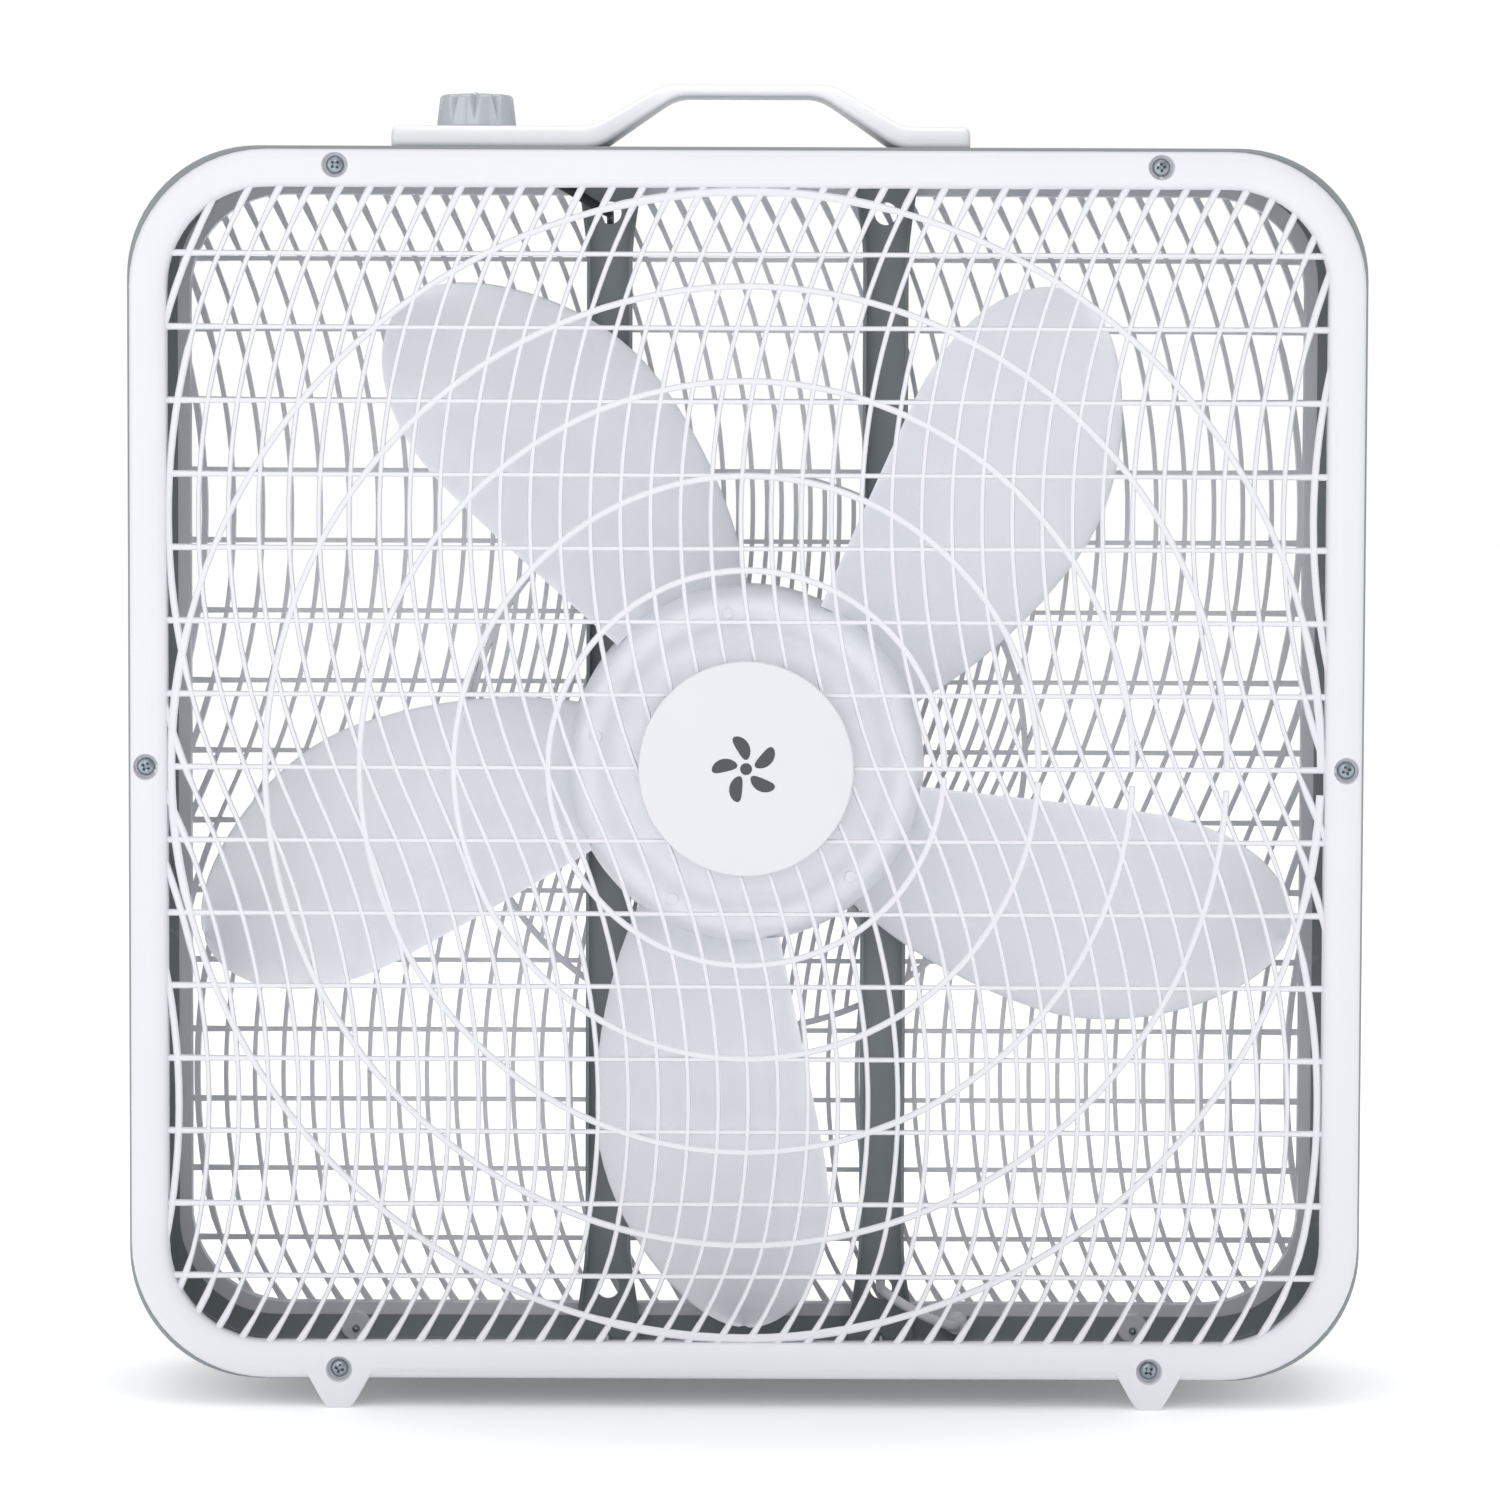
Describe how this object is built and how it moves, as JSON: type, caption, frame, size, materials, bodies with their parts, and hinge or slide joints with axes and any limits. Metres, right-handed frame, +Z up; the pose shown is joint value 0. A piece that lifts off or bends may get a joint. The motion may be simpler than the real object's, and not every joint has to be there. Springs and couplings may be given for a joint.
{
  "type": "box fan",
  "caption": "Square portable box fan: a grilled case round a spinning impeller, with a top carrying handle, a rotary speed knob and a folded mains cord.",
  "frame": {"origin": "on the floor under the middle of the case, where the planes of symmetry of the case meet the plane of the feet", "axes": "+X to the right seen from the front, +Y towards the back (the front grille faces -Y), +Z up"},
  "size_m": [0.53, 0.1665, 0.5688],
  "materials": {
    "white_plastic": "smooth white moulding with a soft sheen",
    "blade_plastic": "smooth pale grey-white moulding",
    "grey_plastic": "glossy silver-grey moulding",
    "black_plastic": "satin black",
    "white_vinyl": "soft white cord jacket",
    "case_steel": "semi-gloss dark grey paint on sheet steel",
    "zinc_steel": "zinc-plated screws",
    "bright_steel": "ground steel",
    "core_steel": "varnished laminations",
    "cast_metal": "die-cast, matt",
    "copper": "enamelled copper windings",
    "bronze": "sintered bronze",
    "brass": "polished contact brass"
  },
  "bodies": {
    "housing": {"case_band": "case_steel", "front_grille": "white_plastic", "rear_grille": "white_plastic", "badge_disc": "white_plastic", "handle_panel": "white_plastic", "switch_body": "black_plastic", "strap_left": "case_steel", "strap_right": "case_steel", "motor_bracket": "case_steel", "motor_front_shield": "cast_metal", "motor_rear_shield": "cast_metal", "stator_core": "core_steel", "coil_1": "copper", "coil_2": "copper", "coil_3": "copper", "coil_4": "copper", "front_bush": "bronze", "rear_bush": "bronze", "strain_relief": "white_vinyl", "supply_lead": "white_vinyl", "switch_lead": "black_plastic", "mains_cord": "white_vinyl", "cord_hank": "white_vinyl", "cord_tail": "white_vinyl", "cord_tie": "black_plastic", "plug_body": "white_vinyl", "plug_prong_1": "brass", "plug_prong_2": "brass", "front_screw_1": "zinc_steel", "front_screw_2": "zinc_steel", "front_screw_3": "zinc_steel", "front_screw_4": "zinc_steel", "front_screw_5": "zinc_steel", "front_screw_6": "zinc_steel", "rear_screw_1": "zinc_steel", "rear_screw_2": "zinc_steel", "rear_screw_3": "zinc_steel", "rear_screw_4": "zinc_steel", "rear_screw_5": "zinc_steel", "rear_screw_6": "zinc_steel", "bracket_screw_1": "zinc_steel", "bracket_screw_2": "zinc_steel", "bracket_screw_3": "zinc_steel", "bracket_screw_4": "zinc_steel", "strap_screw_1": "zinc_steel", "strap_screw_2": "zinc_steel", "strap_screw_3": "zinc_steel", "strap_screw_4": "zinc_steel", "handle_screw_1": "zinc_steel", "handle_screw_2": "zinc_steel", "motor_bolt_1": "zinc_steel", "motor_bolt_2": "zinc_steel"},
    "rotor": {"fan_impeller": "blade_plastic", "hub_clip": "bright_steel", "motor_shaft": "bright_steel", "thrust_washer": "bronze", "rotor_core": "cast_metal"},
    "knob": {"speed_knob": "grey_plastic", "switch_spindle": "bright_steel"}
  },
  "joints": [
    {"name": "fan_spin", "type": "hinge", "parent": "housing", "child": "rotor", "pos_m": [0, 0, 0.2755], "axis": [0, -1, 0], "continuous": true},
    {"name": "knob_turn", "type": "hinge", "parent": "housing", "child": "knob", "pos_m": [-0.118, 0, 0.5552], "axis": [0, 0, 1], "range_deg": [-135, 0]}
  ]
}
